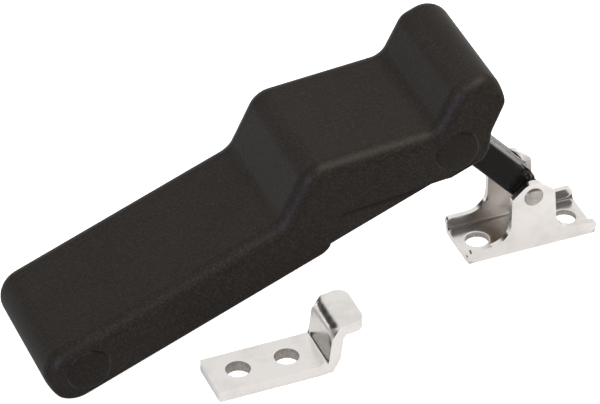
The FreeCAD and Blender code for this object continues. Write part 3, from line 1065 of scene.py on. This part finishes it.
def make_floor():
    """Plain pale floor just under the mounting plane."""
    bm = bmesh.new()
    bmesh.ops.create_grid(bm, x_segments=1, y_segments=1, size=3.0)
    mesh = bpy.data.meshes.new("floor")
    bm.to_mesh(mesh)
    bm.free()
    floor = bpy.data.objects.new("floor", mesh)
    floor.location.z = -0.00002
    bpy.context.scene.collection.objects.link(floor)
    mesh.materials.append(floor_material())
    floor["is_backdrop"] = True


def make_world():
    """White backdrop to the eye.  As light it is bright behind the object and dim on the
    viewer's side, with one dark flag low down at the back left."""
    world = bpy.data.worlds.new("studio")
    world.use_nodes = True
    bpy.context.scene.world = world
    nodes = world.node_tree.nodes
    links = world.node_tree.links
    nodes.clear()
    output = nodes.new("ShaderNodeOutputWorld")
    seen = nodes.new("ShaderNodeBackground")
    seen.inputs["Color"].default_value = (1, 1, 1, 1)
    light = nodes.new("ShaderNodeBackground")
    pick = nodes.new("ShaderNodeMixShader")
    path = nodes.new("ShaderNodeLightPath")
    place = nodes.new("ShaderNodeTexCoord")
    split = nodes.new("ShaderNodeSeparateXYZ")
    links.new(place.outputs["Generated"], split.inputs[0])

    def smooth(value, low, high, into_low, into_high):
        node = nodes.new("ShaderNodeMapRange")
        node.interpolation_type = "SMOOTHSTEP"
        node.inputs["From Min"].default_value = low
        node.inputs["From Max"].default_value = high
        node.inputs["To Min"].default_value = into_low
        node.inputs["To Max"].default_value = into_high
        links.new(value, node.inputs["Value"])
        return node.outputs["Result"]

    towards = nodes.new("ShaderNodeVectorMath")
    towards.operation = "DOT_PRODUCT"
    towards.inputs[1].default_value = DARK_FLAG
    links.new(place.outputs["Generated"], towards.inputs[0])
    flag = smooth(towards.outputs["Value"], 0.905, 0.95, 1.0, 0.03)
    wall = smooth(split.outputs["Y"], -0.5, 0.5, WORLD_FRONT, WORLD_BACK)
    product = nodes.new("ShaderNodeMath")
    product.operation = "MULTIPLY"
    links.new(flag, product.inputs[0])
    links.new(wall, product.inputs[1])
    links.new(product.outputs[0], light.inputs["Strength"])
    links.new(path.outputs["Is Camera Ray"], pick.inputs[0])
    links.new(light.outputs[0], pick.inputs[1])
    links.new(seen.outputs[0], pick.inputs[2])
    links.new(pick.outputs[0], output.inputs["Surface"])


def area_light(name, spot, size_x, size_y, watts, colour):
    """Softbox aimed at the object's middle."""
    data = bpy.data.lights.new(name, "AREA")
    data.shape = "RECTANGLE"
    data.size = size_x
    data.size_y = size_y
    data.energy = watts
    data.color = colour
    lamp = bpy.data.objects.new(name, data)
    low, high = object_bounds()
    aim = (Vector(low) + Vector(high)) / 2
    lamp.location = spot
    lamp.rotation_mode = "QUATERNION"
    lamp.rotation_quaternion = (aim - Vector(spot)).to_track_quat("-Z", "Y")
    bpy.context.scene.collection.objects.link(lamp)
    return lamp


def make_lights():
    """Three softboxes; the key and the fill don't show in reflections."""
    key = area_light("top_front", (0.10, -0.45, 0.75), 0.45, 0.22, 8.0, (1.0, 0.96, 0.90))
    area_light("left_window", (-0.70, -0.52, 0.31), 0.25, 0.30, 2.5, (0.60, 0.66, 1.0))
    fill = area_light("top_back", (0.15, 0.5, 0.8), 0.8, 0.5, 1.0, (1.0, 0.99, 0.97))
    key.visible_glossy = False
    fill.visible_glossy = False


def make_gleams(rubber_pieces):
    """Two strip lights that only the rubber reflects, along its long edges and its steps."""
    low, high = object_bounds()
    heart = (Vector(low) + Vector(high)) / 2
    lit = bpy.data.collections.new("rubber_pieces")
    for piece in rubber_pieces:
        lit.objects.link(piece)
    warm_spot = heart + EDGE_GLEAM * GLEAM_DISTANCE
    cool_spot = heart + RISE_GLEAM * GLEAM_DISTANCE
    warm = area_light("edge_gleam", warm_spot, 1.0, 0.15, 24.0, (1.0, 0.95, 0.84))
    cool = area_light("rise_gleam", cool_spot, 0.2, 0.2, 14.0, (0.66, 0.64, 1.0))
    for lamp in (warm, cool):
        lamp.visible_diffuse = False
        lamp.light_linking.receiver_collection = lit


# ---- assembly ------------------------------------------------------------------------------
def make_rubber_pieces():
    """Arm, core and plugs, kept out of reflections so that the keeper under them stays bright."""
    arm = rubber("arm_moulded_rubber", (0.0100, 0.0080, 0.0060), (0.0124, 0.0101, 0.0078), 0.50, 1.0)
    core = rubber("core_moulded_rubber", (0.0112, 0.0090, 0.0070), (0.0138, 0.0112, 0.0090), 0.60, 1.2)
    plug = rubber("plug_moulded_rubber", (0.0085, 0.0068, 0.0052), (0.0106, 0.0086, 0.0067), 0.48, 0.7)
    pieces = [make_rubber_arm(), make_arm_core()]
    dress(pieces[0], arm)
    dress(pieces[1], core)
    for end, u in (("link", 0.0), ("hook", -PIN_SPACING)):
        for place, side in (("front", -1), ("rear", 1)):
            pieces.append(make_plug(end + "_pin_plug_" + place, u, side))
            dress(pieces[-1], plug)
    for piece in pieces:
        piece.visible_glossy = False
    return pieces


def make_steel_pieces(pins):
    """Link, bracket with its rivet and washers, and keeper."""
    steel = bright_steel()
    # Hole walls get a darkened steel: painted shade inside the bracket's and keeper's holes.
    painted_hole_shade = hole_wall_painted_shade()
    dress(make_link(), black_coat())
    bracket = make_bracket()
    dress(bracket, steel)
    dress_hole_walls(bracket, painted_hole_shade, [(x, 0.0) for x in BRACKET_HOLES], BRACKET_HOLE_RADIUS)
    dress(make_bracket_pin(), pins)
    dress(make_washer("pivot_washer_front"), steel)
    dress(make_washer("pivot_washer_rear"), steel)
    keeper = make_keeper()
    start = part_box("keeper")[0].x / MM
    holes = [(start + s, middle("keeper").y) for s in KEEPER_HOLES]
    dress(keeper, steel)
    dress_hole_walls(keeper, painted_hole_shade, holes, KEEPER_HOLE_RADIUS)


def dress_inner_pieces(pins):
    """Materials of the CAD pieces that keep their own meshes: cross pins, bushes, sleeves."""
    bushes = bronze()
    sleeves = sleeve_steel()
    for node, piece in frame["nodes"].items():
        if "cross_pin" in node:
            dress(piece, pins)
        if "bush" in node:
            dress(piece, bushes)
        if "sleeve" in node:
            dress(piece, sleeves)


def main():
    rubber_pieces = make_rubber_pieces()
    pins = pin_steel()
    make_steel_pieces(pins)
    dress_inner_pieces(pins)
    make_floor()
    make_world()
    make_lights()
    make_gleams(rubber_pieces)
    make_camera()
    bpy.context.scene.view_settings.view_transform = "Standard"


main()
